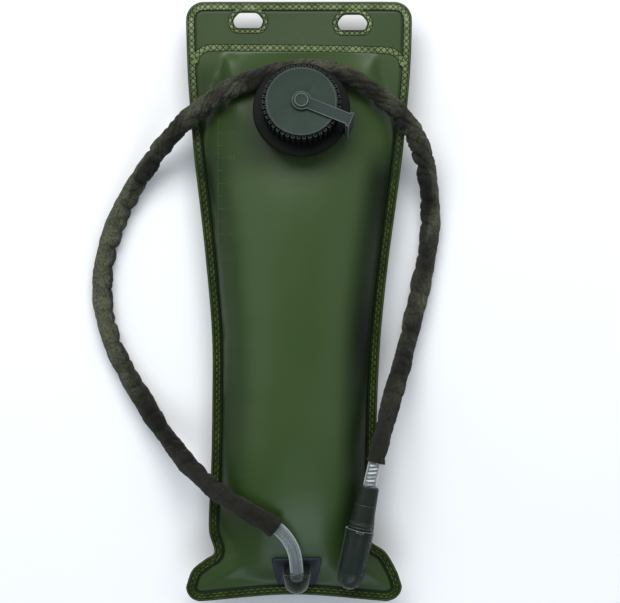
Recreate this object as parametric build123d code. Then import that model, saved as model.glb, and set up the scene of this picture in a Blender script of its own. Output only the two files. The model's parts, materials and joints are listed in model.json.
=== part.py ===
from build123d import *
import os
from math import atan, cos, pi, radians, sin, tan

# Hydration bladder lying on its back. Millimetres.
# +Z points up out of the front film, +Y towards the hanging tab, +X to the right.
# The origin is on the ground under the middle of the reservoir.

# Reservoir
LENGTH = 430.0
WIDTH = 162.0
FILM = 0.8
SEAM_HEIGHT = 24.0
FRONT_RISE = 38.0
BACK_DROP = 28.0
BAND = 7.0
FULLEST_Y = 40.0
CHAMBER_TOP = 176.0
CHAMBER_BOTTOM = -204.0
CORNER = 13.0
FOOT_X = -4.0
FOOT_NOTCH = 5.0
SLOT_WIDTH = 21.9
SLOT_HEIGHT = 10.9
SLOT_TOP_FLAT = 13.0
SLOT_BOTTOM_FLAT = 18.0
SLOT_CENTRES = [(-36.5, 201.6), (38.4, 200.1)]

# Fill port, in the port's own frame: height above the film, along the tilted axis
PORT_X = 1.9
PORT_Y = 131.7
PORT_TILT = 15.0
MOUTH_RADIUS = 16.8
NECK_RADIUS = 19.5
FLANGE_RADIUS = 27.0
FLANGE_THICKNESS = 1.5
RIM_RADIUS = 34.3
RIM_BOTTOM = 10.0
RIM_TOP = 14.0
SPOUT_RADIUS = 22.6
SPOUT_TOP = 27.5
THREAD_PITCH = 4.0
THREAD_DEPTH = 1.2
THREAD_PLAY = 0.3
THREAD_ROOT_SINK = 0.3
THREAD_START = 21.0
CAP_BOTTOM = 14.5
CAP_TOP = 31.5
CAP_ROOF = 28.6
CAP_SHOULDER = 30.0
CAP_SKIRT_RADIUS = 25.5
CAP_RADIUS = 27.3
CAP_DISC_RADIUS = 25.0
CAP_RIM_WIDTH = 1.0
GRIP_TEETH = 42
TOOTH_LENGTH = 2.2
TOOTH_WIDTH = 2.2
GASKET_EDGE = 0.5
BUTTON_RADIUS = 5.35
RIVET_RADIUS = 2.7
EYELET_RADIUS = 6.8
LEASH_WIDTH = 8.3
LEASH_THICKNESS = 1.8
LEASH_ANGLE = -22.5
LEASH_REACH = 37.6
LEASH_RING_BOTTOM = 4.5
LEASH_RING_TOP = 6.7
LEASH_SPLIT = 12.0
LEASH_SPLIT_GAP = 0.3
LEASH_PLAY = 0.2
LEASH_BAR = 2.4
LEASH_BAR_OVERHANG = 1.2

# Outlet, in the outlet's own frame: Y up the front film, Z out of it
OUTLET_X = -1.5
OUTLET_Y = -195.0
OUTLET_TILT = 28.5
ELBOW_BASE = 2.0
ELBOW_HEIGHT = 12.0
ELBOW_RADIUS = 8.4
ELBOW_MOUTH = 9.8
ELBOW_LENGTH = 8.0
SPIGOT_RADIUS = 4.5
SPIGOT_BORE = 3.0
HOSE_LINE = 8.0
HOSE_START = 1.5
PATCH_THICKNESS = 1.3
PATCH_FLOOR = 0.8
PATCH_BORDER = 2.3
PATCH_CORNER = 3.0

# Drinking tube
HOSE_DIAMETER = 9.5
HOSE_BORE = 6.35
SLEEVE_DIAMETER = 13.0
SLEEVE_BORE = 10.1
BARB_RADIUS = 3.5
BARB_BORE = 2.2

# Bite valve, in its own frame: Z runs from the hose to the tip
VALVE_START = (50.1, -131.6, 45.0)
VALVE_TIP = (34.1, -206.1, 39.8)
COLLAR_LENGTH = 13.0
BODY_LENGTH = 26.2
NECK_END = 44.0
SLIDER_START = 26.4
SLIDER_BORE = 6.1
SLIDER_LIP_END = 29.2
MOUTHPIECE_START = 31.4
MOUTHPIECE_END = 64.4
DUST_CAP_START = 31.2
DUST_CAP_END = 74.4
DUST_CAP_RADIUS = 10.4
DUST_CAP_WALL = 1.0

# Outline of the reservoir: distance up its length, left edge and right edge there
SIDES = [
    (200, -81.0, 81.0),
    (176, -80.3, 80.3),
    (152, -79.1, 78.7),
    (105, -75.3, 74.2),
    (70, -71.2, 69.6),
    (25, -66.3, 63.6),
    (-25, -62.3, 58.6),
    (-75, -62.2, 56.0),
    (-120, -63.0, 55.2),
    (-150, -64.5, 54.6),
    (-166, -64.3, 53.2),
]
# Bottom corners, from the side's end to the lowest straight
LEFT_EAR = [(-64.3, -166), (-60.6, -179.5), (-67.0, -184.6), (-76.5, -192.5), (-81.0, -204.5)]
RIGHT_EAR = [(53.2, -166), (52.2, -172.5), (62.0, -179.5), (70.0, -193.0), (73.8, -204.0)]
FOOT_RADIUS = 10.5

# Lengths along the chamber where its section is set out
CHAMBER_ENDS = (175.4, -203.4)
CHAMBER_STEPS = [172, 166, 158, 147, 133, 110, 75, 25, -30, -85, -130, -160, -180, -193]
SECTION_STEPS = 10
LEAST_RISE = 0.4

# The tube's route, from the outlet round the reservoir to the bite valve
ROUTE = [
    (-1.5, -197.5, 37.0),
    (-1.6, -184.0, 43.9),
    (-5.3, -171.5, 49.2),
    (-14.5, -160.0, 52.5),
    (-36.0, -148.5, 53.5),
    (-60.0, -135.0, 43.5),
    (-80.0, -117.0, 27.0),
    (-99.0, -93.0, 12.0),
    (-118.0, -64.0, 7.2),
    (-135.0, -33.0, 7.0),
    (-144.0, 2.0, 7.0),
    (-141.0, 34.0, 7.0),
    (-130.0, 64.0, 7.2),
    (-116.0, 88.0, 9.0),
    (-98.0, 112.0, 21.5),
    (-77.5, 133.0, 38.0),
    (-52.0, 150.0, 48.5),
    (-24.0, 161.8, 48.8),
    (6.0, 166.6, 46.9),
    (34.0, 161.5, 48.2),
    (57.0, 146.8, 48.5),
    (74.5, 132.5, 41.0),
    (88.0, 112.0, 27.0),
    (94.5, 83.0, 11.5),
    (95.8, 52.0, 7.2),
    (90.0, 20.0, 7.0),
    (83.5, -10.0, 8.5),
    (74.0, -44.0, 16.0),
    (65.5, -74.0, 30.0),
    (59.0, -97.0, 42.0),
    (53.95, -113.66, 46.25),
    VALVE_START,
]
SLEEVE_FIRST_TRIM = 45.0
SLEEVE_LAST_TRIM = 18.0


def edges_at(y):
    """Left and right edge of the reservoir above the bottom corners."""
    if y <= SIDES[-1][0]:
        return SIDES[-1][1:]
    high = [row for row in SIDES if row[0] >= y][-1]
    low = [row for row in SIDES if row[0] < y][0]
    share = (y - low[0]) / (high[0] - low[0])
    left = low[1] + share * (high[1] - low[1])
    right = low[2] + share * (high[2] - low[2])
    return left, right


def middle_x(y):
    """Centre line of the chamber, which leans a little to one side."""
    return sum(edges_at(y)) / 2


def chamber_half_width(y):
    """Half the width inside the side welds."""
    left, right = edges_at(y)
    return (right - left) / 2 - BAND


def fullness(y, top_power, top_root, bottom_power, bottom_root):
    """Height of the filled shape along the length, from 0 at the ends to 1."""
    if y >= FULLEST_Y:
        u = (y - FULLEST_Y) / (CHAMBER_TOP - FULLEST_Y)
        return (1 - u ** top_power) ** (1 / top_root)
    u = (FULLEST_Y - y) / (FULLEST_Y - CHAMBER_BOTTOM)
    return (1 - u ** bottom_power) ** (1 / bottom_root)


def front_rise(y):
    return FRONT_RISE * fullness(y, 2.2, 2.0, 4.0, 1.0)


def back_drop(y):
    return BACK_DROP * fullness(y, 8.0, 2.0, 8.0, 2.0)


def chamber_section(y, height, half, power, side, overlap):
    """Half section of the filled chamber, closed by a straight line or a foot past the seam."""
    pinch = 0.6 + 0.45 * max(0, (y - FULLEST_Y) / (CHAMBER_TOP - FULLEST_Y)) ** 4
    middle = middle_x(y)
    points = []
    for i in range(SECTION_STEPS + 1):
        s = cos(pi * i / SECTION_STEPS)
        z = height * (1 - abs(s) ** power) ** pinch
        points.append((middle + half * s, y, SEAM_HEIGHT + side * z))
    corners = [points[-1], points[0]]
    if overlap > 0:
        drop = SEAM_HEIGHT - side * overlap
        corners[1:1] = [(middle - half, y, drop), (middle + half, y, drop)]
    return make_face(Spline(*points) + Polyline(*corners))


def bulge(rise, side, grow, end_trim, power, overlap):
    """Filled shape on one side of the seam, grown or shrunk, reaching past the seam by overlap."""
    top, bottom = CHAMBER_ENDS
    sections = []
    for y in [top - end_trim, *CHAMBER_STEPS, bottom + end_trim]:
        half = chamber_half_width(y) + grow
        height = max(rise(y) + grow, LEAST_RISE)
        sections.append(chamber_section(y, height, half, power, side, overlap))
    return loft(sections, ruled=True)


def outline_face():
    """Flat outline shared by both films."""
    right = [(right_x, y) for y, left_x, right_x in SIDES]
    left = [(left_x, y) for y, left_x, right_x in SIDES]
    half = WIDTH / 2
    top = LENGTH / 2
    bottom = -LENGTH / 2
    right_foot = (RIGHT_EAR[-1][0] - FOOT_RADIUS, bottom)
    left_foot = (LEFT_EAR[-1][0] + FOOT_RADIUS, bottom)
    edges = [
        Line((CORNER - half, top), (half - CORNER, top)),
        Spline((half - CORNER, top), right[0], tangents=((1, 0), (0, -1))),
        Spline(*right),
        Spline(*RIGHT_EAR),
        Spline(RIGHT_EAR[-1], right_foot, tangents=((0, -1), (-1, 0))),
        Spline(right_foot, (FOOT_X, bottom + FOOT_NOTCH), left_foot),
        Spline(left_foot, LEFT_EAR[-1], tangents=((-1, 0), (0, 1))),
        Spline(*reversed(LEFT_EAR)),
        Spline(*reversed(left)),
        Spline(left[0], (CORNER - half, top), tangents=((0, 1), (1, 0))),
    ]
    return make_face(Curve() + edges)


def hang_slots():
    """The two six-sided holes in the tab."""
    cuts = []
    for x, y in SLOT_CENTRES:
        corners = [
            (x - SLOT_TOP_FLAT / 2, y + SLOT_HEIGHT / 2),
            (x + SLOT_TOP_FLAT / 2, y + SLOT_HEIGHT / 2),
            (x + SLOT_WIDTH / 2, y),
            (x + SLOT_BOTTOM_FLAT / 2, y - SLOT_HEIGHT / 2),
            (x - SLOT_BOTTOM_FLAT / 2, y - SLOT_HEIGHT / 2),
            (x - SLOT_WIDTH / 2, y),
        ]
        face = make_face(Polyline(*corners, close=True))
        cuts.append(extrude(Pos(0, 0, SEAM_HEIGHT - 5) * face, 10))
    return cuts


def disc(radius, bottom, top):
    return extrude(Pos(0, 0, bottom) * Circle(radius), top - bottom)


def slab(x_low, x_high, y_low, y_high, z_low, z_high):
    size = (x_high - x_low, y_high - y_low, z_high - z_low)
    middle = ((x_low + x_high) / 2, (y_low + y_high) / 2, (z_low + z_high) / 2)
    return Pos(*middle) * Box(*size)


def turned(*corners):
    """Solid turned about Z from corners given as (radius, height)."""
    outline = Polyline(*[(r, 0, h) for r, h in corners], close=True)
    return revolve(make_face(outline), Axis.Z)


def port_plane():
    tilt = radians(PORT_TILT)
    height = SEAM_HEIGHT + front_rise(PORT_Y)
    return Plane(origin=(PORT_X, PORT_Y, height), x_dir=(1, 0, 0), z_dir=(0, sin(tilt), cos(tilt)))


def outlet_plane():
    tilt = radians(OUTLET_TILT)
    height = SEAM_HEIGHT + front_rise(OUTLET_Y)
    return Plane(origin=(OUTLET_X, OUTLET_Y, height), x_dir=(1, 0, 0), z_dir=(0, -sin(tilt), cos(tilt)))


def valve_plane():
    start = Vector(*VALVE_START)
    along = (Vector(*VALVE_TIP) - start).normalized()
    across = along.cross(Vector(0, 0, 1)).normalized()
    return Plane(origin=start, x_dir=across, z_dir=along)


def front_panel():
    sheet = extrude(Pos(0, 0, SEAM_HEIGHT) * outline_face(), FILM)
    panel = sheet + bulge(front_rise, 1, 0, 0, 2.0, 0)
    panel -= bulge(front_rise, 1, -FILM, 1, 2.0, 1)
    for cut in hang_slots():
        panel -= cut
    panel -= port_plane() * disc(NECK_RADIUS, -8, 4)
    panel -= outlet_plane() * disc(SPIGOT_RADIUS, -4, 4)
    return panel


def back_panel():
    sheet = extrude(Pos(0, 0, SEAM_HEIGHT - FILM) * outline_face(), FILM)
    above_ground = slab(-200, 200, -300, 300, 0, 100)
    above_film = slab(-200, 200, -300, 300, FILM, 100)
    panel = sheet + (bulge(back_drop, -1, 0, 0, 2.6, 0) & above_ground)
    panel -= bulge(back_drop, -1, -FILM, 1, 2.6, 1) & above_film
    for cut in hang_slots():
        panel -= cut
    return panel


def thread(root, crest, first, turns):
    """Helical ridge from a root radius to a crest radius."""
    path = Helix(THREAD_PITCH, THREAD_PITCH * turns, root, center=(0, 0, first))
    start = Plane(origin=path @ 0, x_dir=(1, 0, 0), z_dir=path % 0)
    depth = crest - root
    sunk = -THREAD_ROOT_SINK if depth > 0 else THREAD_ROOT_SINK
    wide = THREAD_PITCH / 5
    narrow = THREAD_PITCH / 10
    profile = Polyline((sunk, -wide), (depth, -narrow), (depth, narrow), (sunk, wide), close=True)
    return sweep(start * make_face(profile), path=path, is_frenet=True)


def port_collar():
    """Welded flange, neck, grip rim and threaded spout in one moulding."""
    plane = port_plane()
    flange = plane * disc(FLANGE_RADIUS, -8, 6)
    flange &= bulge(front_rise, 1, FLANGE_THICKNESS, 0, 2.0, 0)
    flange -= bulge(front_rise, 1, 0, 0, 2.0, 1)
    neck = turned(
        (MOUTH_RADIUS, -3),
        (NECK_RADIUS, -3),
        (NECK_RADIUS, RIM_BOTTOM - 2),
        (NECK_RADIUS + 2, RIM_BOTTOM),
        (RIM_RADIUS - 1, RIM_BOTTOM),
        (RIM_RADIUS, RIM_BOTTOM + 1),
        (RIM_RADIUS, RIM_TOP - 1),
        (RIM_RADIUS - 1, RIM_TOP),
        (SPOUT_RADIUS, RIM_TOP),
        (SPOUT_RADIUS, SPOUT_TOP),
        (MOUTH_RADIUS, SPOUT_TOP),
    )
    ridge = thread(SPOUT_RADIUS, SPOUT_RADIUS + THREAD_DEPTH, THREAD_START, 1.25)
    bore = plane * disc(MOUTH_RADIUS, -9, SPOUT_TOP + 1)
    return plane * (neck + ridge) + (flange - bore)


def fill_cap():
    """Screw cap with grip teeth, a female thread and a hole for the leash button."""
    bore = SPOUT_RADIUS + THREAD_DEPTH + THREAD_PLAY
    tooth = Pos(CAP_RADIUS - TOOTH_LENGTH / 2, 0) * Rectangle(TOOTH_LENGTH, TOOTH_WIDTH)
    teeth = Sketch() + Circle(CAP_SKIRT_RADIUS)
    for i in range(GRIP_TEETH):
        teeth += Rot(0, 0, i * 360 / GRIP_TEETH) * tooth
    cap = extrude(Pos(0, 0, CAP_BOTTOM) * teeth, CAP_SHOULDER - CAP_BOTTOM)
    cap += disc(CAP_DISC_RADIUS, CAP_BOTTOM + 1, CAP_TOP)
    cap -= disc(bore, CAP_BOTTOM - 1, CAP_ROOF)
    cap -= disc(CAP_DISC_RADIUS - CAP_RIM_WIDTH, CAP_TOP - 0.5, CAP_TOP + 1)
    cap -= disc(RIVET_RADIUS, CAP_ROOF - 1, CAP_TOP + 1)
    ridge = thread(bore, SPOUT_RADIUS + THREAD_PLAY, THREAD_START, 1.0)
    return port_plane() * (cap + Rot(0, 0, 180) * ridge)


def cap_gasket():
    """Flat seal between the spout's end and the cap's roof."""
    ring = disc(SPOUT_RADIUS - GASKET_EDGE, SPOUT_TOP + 0.05, CAP_ROOF)
    ring -= disc(MOUTH_RADIUS + GASKET_EDGE, SPOUT_TOP - 1, CAP_ROOF + 1)
    return port_plane() * ring


def cap_button():
    """Rivet that the leash turns on."""
    eyelet_top = CAP_TOP + LEASH_PLAY + LEASH_THICKNESS
    button = disc(RIVET_RADIUS, CAP_ROOF, eyelet_top + 0.5)
    button += turned(
        (0, eyelet_top + 0.2),
        (BUTTON_RADIUS, eyelet_top + 0.2),
        (BUTTON_RADIUS, eyelet_top + 1.0),
        (BUTTON_RADIUS - 0.6, eyelet_top + 1.6),
        (BUTTON_RADIUS - 0.9, eyelet_top + 1.6),
        (BUTTON_RADIUS - 0.9, eyelet_top + 1.2),
        (0, eyelet_top + 1.2),
    )
    return port_plane() * button


def leash_bar(low, high):
    """Wider end of the leash outside the rim."""
    half = LEASH_WIDTH / 2 + LEASH_BAR_OVERHANG
    return slab(LEASH_REACH - LEASH_BAR, LEASH_REACH, -half, half, low, high)


def leash_arm():
    """Upper half of the leash: eyelet, arm over the cap and leg down outside the rim."""
    bottom = CAP_TOP + LEASH_PLAY
    top = bottom + LEASH_THICKNESS
    half = LEASH_WIDTH / 2
    arm = disc(EYELET_RADIUS, bottom, top)
    arm += slab(0, LEASH_REACH, -half, half, bottom, top)
    arm += leash_bar(LEASH_SPLIT, top)
    arm -= disc(RIVET_RADIUS + 0.3, bottom - 1, top + 1)
    return port_plane() * Rot(0, 0, LEASH_ANGLE) * arm


def leash_ring():
    """Lower half of the leash: the ring round the neck and its tongue."""
    half = LEASH_WIDTH / 2
    low = LEASH_RING_BOTTOM
    high = LEASH_RING_TOP
    ring = disc(NECK_RADIUS + 4, low, high)
    ring += slab(0, LEASH_REACH, -half, half, low, high)
    ring += leash_bar(low, LEASH_SPLIT - LEASH_SPLIT_GAP)
    ring -= disc(NECK_RADIUS + 0.3, low - 1, high + 1)
    return port_plane() * Rot(0, 0, LEASH_ANGLE) * ring


def outlet_patch():
    """Black trapezoid welded on the film round the outlet."""
    corners = [(-18.6, 13.8), (18.6, 13.8), (13.5, -8.6), (-13.5, -8.6)]
    outline = make_face(Polyline(*corners, close=True))
    outline = fillet(outline.vertices(), PATCH_CORNER)
    inset = offset(outline, -PATCH_BORDER)
    column = outlet_plane() * extrude(Pos(0, 0, -5) * outline, 12)
    recess = outlet_plane() * extrude(Pos(0, 0, -5) * inset, 12)
    patch = column & bulge(front_rise, 1, PATCH_THICKNESS, 0, 2.0, 0)
    patch -= recess - bulge(front_rise, 1, PATCH_FLOOR, 0, 2.0, 0)
    patch -= bulge(front_rise, 1, 0, 0, 2.0, 1)
    patch -= outlet_plane() * disc(SPIGOT_RADIUS, -6, 6)
    return patch


def barb_profile(start, count, step):
    """Corners of a row of hose barbs, from the free end inwards."""
    corners = []
    for i in range(count):
        corners.append((BARB_RADIUS - 0.5, start + i * step))
        corners.append((BARB_RADIUS, start + i * step + step * 0.7))
        corners.append((BARB_RADIUS - 0.5, start + i * step + step * 0.75))
    return corners


def outlet_elbow():
    """Clear elbow: spigot through the film, chamber, and a shrouded barb for the tube."""
    low = ELBOW_BASE
    high = ELBOW_BASE + ELBOW_HEIGHT
    lean = atan((ELBOW_MOUTH - ELBOW_RADIUS) / ELBOW_LENGTH)
    side = ELBOW_RADIUS * cos(lean)
    start = -ELBOW_RADIUS * sin(lean)
    corners = [(-side, start), (side, start), (ELBOW_MOUTH, ELBOW_LENGTH), (-ELBOW_MOUTH, ELBOW_LENGTH)]
    foot = Circle(ELBOW_RADIUS) + make_face(Polyline(*corners, close=True))
    shell = extrude(Pos(0, 0, low) * foot, high - low)
    shell = fillet(shell.faces().sort_by(Axis.Z)[-1].outer_wire().edges(), 2.0)
    shell += disc(SPIGOT_RADIUS + 3, PATCH_THICKNESS + 0.1, low + 1)
    shell += disc(SPIGOT_RADIUS, -5.5, low + 1)
    along_tube = Pos(0, 0, HOSE_LINE) * Rot(-90, 0, 0)
    shell -= along_tube * disc(HOSE_DIAMETER / 2 + 0.15, HOSE_START, 20)
    barb = disc(BARB_RADIUS - 0.5, HOSE_START - 1, HOSE_START + 9)
    barb += turned((0, 5), (BARB_RADIUS, 5), (BARB_RADIUS - 0.4, 8), (0, 8))
    shell += along_tube * barb
    shell -= along_tube * disc(BARB_BORE, 0, 20)
    shell -= disc(SPIGOT_BORE, -8, HOSE_LINE + BARB_BORE + 0.4)
    return outlet_plane() * shell


def outlet_gasket(panel):
    ring = outlet_plane() * (disc(8.0, -2.4, 0) - disc(SPIGOT_RADIUS, -9, 9))
    inner = bulge(front_rise, 1, -FILM, 1, 2.0, 1)
    return (ring & inner) - panel


def outlet_nut():
    """Flanged hexagon nut on the spigot inside the reservoir."""
    nut = extrude(Pos(0, 0, -5.4) * RegularPolygon(7.2, 6), 3)
    nut -= disc(SPIGOT_RADIUS, -9, 9)
    return outlet_plane() * nut


def route_radii(points):
    """Largest even bend at each inner point of a route."""
    radii = []
    for before, here, after in zip(points, points[1:], points[2:]):
        run_in = Vector(*here) - Vector(*before)
        run_out = Vector(*after) - Vector(*here)
        half_turn = radians(run_in.get_angle(run_out)) / 2
        radii.append(0.45 * min(run_in.length, run_out.length) / tan(half_turn))
    return radii


def route_line():
    return FilletPolyline(*ROUTE, radius=route_radii(ROUTE))


def tube_along(line, outer, inner):
    ring = Circle(outer / 2) - Circle(inner / 2)
    start = Plane(origin=line @ 0, z_dir=line % 0)
    return sweep(start * ring, path=line)


def hose():
    return tube_along(route_line(), HOSE_DIAMETER, HOSE_BORE)


def hose_sleeve():
    line = route_line()
    first = SLEEVE_FIRST_TRIM / line.length
    last = 1 - SLEEVE_LAST_TRIM / line.length
    return tube_along(Curve() + line.trim(first, last), SLEEVE_DIAMETER, SLEEVE_BORE)


def valve_stem():
    """Barbed tail that the tube is pushed on."""
    stem = turned(
        (BARB_BORE, -16),
        *barb_profile(-16, 3, 4.5),
        (BARB_RADIUS - 0.5, 0.2),
        (5.2, 0.2),
        (5.2, 2.2),
        (BARB_BORE, 2.2),
    )
    return valve_plane() * stem


def valve_collar():
    """Rear half of the valve body, tapering to the tube."""
    collar = turned(
        (BARB_RADIUS - 0.5, 0.0),
        (6.7, 0.0),
        (7.0, 0.3),
        (7.8, COLLAR_LENGTH),
        (6.4, COLLAR_LENGTH),
        (5.2, 4.0),
        (5.2, 0.2),
        (BARB_RADIUS - 0.5, 0.2),
    )
    return valve_plane() * collar


def valve_body():
    """Front half of the valve body with the sealing neck."""
    body = turned(
        (4.0, 2.3),
        (5.2, 2.3),
        (5.2, 4.0),
        (6.3, COLLAR_LENGTH + 0.05),
        (7.8, COLLAR_LENGTH + 0.05),
        (8.5, BODY_LENGTH - 0.5),
        (8.1, BODY_LENGTH),
        (5.6, BODY_LENGTH),
        (5.6, 34.0),
        (4.9, 34.0),
        (4.9, 35.2),
        (5.6, 35.2),
        (5.6, 39.0),
        (4.9, 39.0),
        (4.9, 40.2),
        (5.6, 40.2),
        (5.6, NECK_END),
        (4.0, NECK_END),
    )
    return valve_plane() * body


def valve_o_rings():
    rings = Pos(0, 0, 34.6) * Torus(5.46, 0.55)
    rings += Pos(0, 0, 39.6) * Torus(5.46, 0.55)
    return valve_plane() * rings


def valve_pin():
    """Stopper held in the neck by three ribs."""
    pin = turned((0, 38), (1.6, 38), (1.6, 44), (2.9, 45.5), (2.9, 47.5), (2.3, 48.3), (0, 48.3))
    for i in range(3):
        pin += Rot(0, 0, i * 120) * slab(0, 4.0, -0.6, 0.6, 38, 42)
    pin = pin & disc(4.0, 30, 60)
    return valve_plane() * pin


def shutoff_slider():
    """Sleeve that is pulled out to open the valve and pushed in to close it."""
    slider = turned(
        (5.65, SLIDER_START),
        (8.4, SLIDER_START),
        (8.8, SLIDER_START + 0.5),
        (8.8, SLIDER_START + 1.6),
        (8.1, SLIDER_START + 1.9),
        (8.1, SLIDER_START + 2.9),
        (8.8, SLIDER_START + 3.2),
        (8.8, SLIDER_START + 4.7),
        (7.0, SLIDER_START + 4.7),
        (7.0, 50.0),
        (2.95, 50.0),
        (2.95, 46.6),
        (4.6, 45.0),
        (SLIDER_BORE, 45.0),
        (SLIDER_BORE, SLIDER_LIP_END),
        (5.65, SLIDER_LIP_END),
    )
    return valve_plane() * slider


def mouthpiece():
    """Soft bite piece with a slit across its rounded end."""
    end = MOUTHPIECE_END
    bite = turned(
        (7.0, MOUTHPIECE_START),
        (9.1, MOUTHPIECE_START),
        (9.1, 36.0),
        (8.5, 38.0),
        (8.8, 47.0),
        (8.7, end - 7),
        (7.9, end - 3.6),
        (6.0, end - 1.1),
        (3.0, end),
        (0, end),
        (0, end - 2.0),
        (4.0, end - 3.0),
        (5.6, end - 6),
        (5.6, 50.0),
        (7.0, 50.0),
    )
    bite -= slab(-4.5, 4.5, -0.15, 0.15, end - 4, end + 1)
    return valve_plane() * bite


def dust_cap():
    """Clear cover pushed over the bite piece, with a pull tab."""
    end = DUST_CAP_END
    outer = DUST_CAP_RADIUS
    inner = DUST_CAP_RADIUS - DUST_CAP_WALL
    cover = turned(
        (inner, DUST_CAP_START),
        (outer, DUST_CAP_START),
        (outer, DUST_CAP_START + 1.6),
        (outer - 0.2, DUST_CAP_START + 2.0),
        (outer - 0.4, end - 12),
        (outer - 1.5, end - 5.5),
        (outer - 3.6, end - 2),
        (outer - 7.0, end),
        (0, end),
        (0, end - 1.2),
        (outer - 7.3, end - 1.2),
        (outer - 4.3, end - 2.9),
        (inner - 1.4, end - 5.8),
        (inner - 0.3, end - 12),
    )
    tab = slab(-2.5, 2.5, outer - 0.8, outer + 2.2, DUST_CAP_START, DUST_CAP_START + 1.6)
    return valve_plane() * (cover + Rot(0, 0, 180) * tab)


def write(name, shape):
    shape.label = name
    export_step(shape, f"parts/{name}.step")
    print(name, "volume", round(shape.volume, 1))


def main():
    os.makedirs("parts", exist_ok=True)
    front = front_panel()
    write("front_panel", front)
    write("back_panel", back_panel())
    write("outlet_gasket", outlet_gasket(front))
    pieces = [
        port_collar,
        fill_cap,
        cap_gasket,
        cap_button,
        leash_arm,
        leash_ring,
        outlet_patch,
        outlet_elbow,
        outlet_nut,
        hose,
        hose_sleeve,
        valve_stem,
        valve_collar,
        valve_body,
        valve_pin,
        valve_o_rings,
        shutoff_slider,
        mouthpiece,
        dust_cap,
    ]
    for piece in pieces:
        write(piece.__name__, piece())
    line = route_line()
    wall = pi * (HOSE_DIAMETER ** 2 - HOSE_BORE ** 2) / 4
    print("tube length", round(line.length, 1), "volume from length", round(wall * line.length, 1))
    print("bend radii", [round(radius) for radius in route_radii(ROUTE)])


main()
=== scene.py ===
import json
import random
from bisect import bisect_right
from contextlib import contextmanager
from math import copysign, cos, exp, hypot, pi, radians, sin, sqrt

import bmesh
import bpy
from mathutils import Matrix, Vector, noise
from mathutils.geometry import delaunay_2d_cdt
from mathutils.kdtree import KDTree

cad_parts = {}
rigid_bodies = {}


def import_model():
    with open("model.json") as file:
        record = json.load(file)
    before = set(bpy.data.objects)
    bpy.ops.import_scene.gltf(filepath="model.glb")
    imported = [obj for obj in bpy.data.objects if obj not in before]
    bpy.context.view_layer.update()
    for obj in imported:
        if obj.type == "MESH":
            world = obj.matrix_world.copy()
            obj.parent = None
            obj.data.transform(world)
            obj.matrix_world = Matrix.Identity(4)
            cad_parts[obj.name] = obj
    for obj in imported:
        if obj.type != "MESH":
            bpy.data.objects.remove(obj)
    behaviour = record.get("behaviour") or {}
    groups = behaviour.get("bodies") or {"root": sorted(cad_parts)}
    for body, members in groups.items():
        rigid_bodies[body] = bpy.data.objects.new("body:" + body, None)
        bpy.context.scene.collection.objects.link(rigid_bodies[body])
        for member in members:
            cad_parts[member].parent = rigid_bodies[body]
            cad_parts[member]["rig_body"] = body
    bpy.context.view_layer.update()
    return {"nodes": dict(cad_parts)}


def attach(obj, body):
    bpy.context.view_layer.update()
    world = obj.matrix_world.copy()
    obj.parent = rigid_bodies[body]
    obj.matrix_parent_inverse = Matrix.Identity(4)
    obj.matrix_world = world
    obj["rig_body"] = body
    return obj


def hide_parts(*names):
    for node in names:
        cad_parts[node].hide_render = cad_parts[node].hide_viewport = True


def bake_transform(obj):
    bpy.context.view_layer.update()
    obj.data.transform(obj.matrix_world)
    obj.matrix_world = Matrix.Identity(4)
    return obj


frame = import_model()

NODES = frame["nodes"]
MM = 0.001

# ---------------- driving sizes, metres
LENGTH = 0.43
WIDTH = 0.162
SEAM = 0.024
FRONT_RISE = 0.038
BACK_DROP = 0.028
# How each film falls away from its fullest place: (power, root) upwards, then downwards
FRONT_CURVE = ((2.2, 2.0), (4.0, 1.0))
BACK_CURVE = ((8.0, 2.0), (8.0, 2.0))
# The front film slopes from this height down to the cross weld, over this length
SHOULDER = 0.0187
SHOULDER_RUN = 0.0185
BAND = 0.007
FULLEST_Y = 0.04
CHAMBER_TOP = 0.176
CHAMBER_BOTTOM = -0.204
TOP_WELD_Y = 0.1785
FLOOR_REST = 0.0004
CORNER = 0.013
FILM = 0.0005
SLOTS = [(-0.0365, 0.2016), (0.0384, 0.2001)]
SLOT_WIDTH = 0.0219
SLOT_HEIGHT = 0.0109
SLOT_TOP_FLAT = 0.013
SLOT_BOTTOM_FLAT = 0.018
PORT = Vector((0.0019, 0.1317, 0.0))
PORT_TILT = radians(15)
NECK_RADIUS = 0.0195
FLANGE_RADIUS = 0.027
OUTLET = Vector((-0.0015, -0.195, 0.0))
OUTLET_TILT = radians(28.5)
# The outlet patch from the outlet up and down, its half width there, and how much wider that is at its top
PATCH_TOP = 0.0135
PATCH_FOOT = 0.0086
PATCH_HALF = 0.015
PATCH_FLARE = 0.0033
HOSE_RADIUS = 0.00475
HOSE_BORE = 0.003175
SLEEVE_RADIUS = 0.0065
YARN = 0.0011
PITCH = 0.0045
SCALE_X = -0.0575
SCALE_LOW = 0.03
SCALE_HIGH = 0.138
SCALE_STEP = 0.009

# Outline of the reservoir in millimetres: distance up its length, left edge and right edge there
SIDES = [
    (200, -81.0, 81.0),
    (176, -80.3, 80.3),
    (152, -79.1, 78.7),
    (105, -75.3, 74.2),
    (70, -71.2, 69.6),
    (25, -66.3, 63.6),
    (-25, -62.3, 58.6),
    (-75, -62.2, 56.0),
    (-120, -63.0, 55.2),
    (-150, -64.5, 54.6),
    (-166, -64.3, 53.2),
]
LEFT_EAR = [(-64.3, -166), (-60.6, -179.5), (-67.0, -184.6), (-76.5, -192.5), (-81.0, -204.5)]
RIGHT_EAR = [(53.2, -166), (52.2, -172.5), (62.0, -179.5), (70.0, -193.0), (73.8, -204.0)]
FOOT_X = -0.004
FOOT_NOTCH = 0.005
FOOT_RADIUS = 0.0105

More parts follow.
